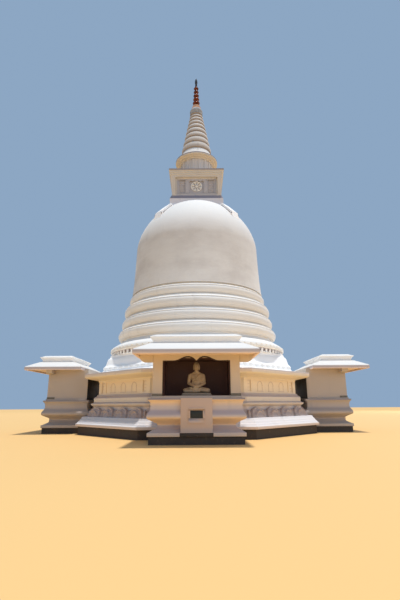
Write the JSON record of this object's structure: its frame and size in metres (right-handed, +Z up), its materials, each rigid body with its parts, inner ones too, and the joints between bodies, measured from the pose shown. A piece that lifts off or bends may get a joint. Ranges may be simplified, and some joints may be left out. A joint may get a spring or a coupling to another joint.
{
  "type": "stupa",
  "caption": "Whitewashed bell-shaped stupa on an octagonal terrace, with image houses on its main sides, a square box and a ringed spire.",
  "frame": {"origin": "on the vertical axis at ground level, under the middle of the octagonal plinth", "axes": "+Z up, -Y out of the front image house, +X to the right seen from the front"},
  "size_m": [13.77, 13.77, 18.06],
  "materials": {
    "lime_plaster": "warm off-white lime wash, matt, softly mottled",
    "wall_plaster": "lime wash in the shade, matt, a little warmer",
    "plinth_paint": "near-black brown paint, dusty",
    "carved_stone": "carved sandy brown stone, matt",
    "gilt_copper": "polished gilt copper",
    "grey_metal": "dull grey paint",
    "dark_crystal": "glossy dark crystal"
  },
  "bodies": {
    "root": {"terrace_plinth": "plinth_paint", "terrace_slab": "lime_plaster", "petal_moulding": "lime_plaster", "terrace_band": "lime_plaster", "terrace_wall": "wall_plaster", "terrace_cornice": "lime_plaster", "terrace_roof": "lime_plaster", "roof_moulding": "lime_plaster", "relief_course": "lime_plaster", "ring_lower": "lime_plaster", "ring_middle": "lime_plaster", "ring_upper": "lime_plaster", "ring_foot": "lime_plaster", "dome": "lime_plaster", "box_slab": "lime_plaster", "shoulder_plate_front_right": "lime_plaster", "shoulder_plate_back_right": "lime_plaster", "shoulder_plate_back_left": "lime_plaster", "shoulder_plate_front_left": "lime_plaster", "box_body": "wall_plaster", "box_cornice": "lime_plaster", "drum": "lime_plaster", "drum_cornice": "lime_plaster", "spire_cone": "lime_plaster", "spire_collar": "grey_metal", "pinnacle": "gilt_copper", "pinnacle_tip": "dark_crystal", "front_house_plinth": "plinth_paint", "front_house_pedestal": "lime_plaster", "front_house_walls": "wall_plaster", "front_house_roof": "lime_plaster", "front_statue": "carved_stone", "right_house_plinth": "plinth_paint", "right_house_pedestal": "lime_plaster", "right_house_walls": "wall_plaster", "right_house_roof": "lime_plaster", "right_statue": "carved_stone", "back_house_plinth": "plinth_paint", "back_house_pedestal": "lime_plaster", "back_house_walls": "wall_plaster", "back_house_roof": "lime_plaster", "back_statue": "carved_stone", "left_house_plinth": "plinth_paint", "left_house_pedestal": "lime_plaster", "left_house_walls": "wall_plaster", "left_house_roof": "lime_plaster", "left_statue": "carved_stone"}
  },
  "joints": []
}
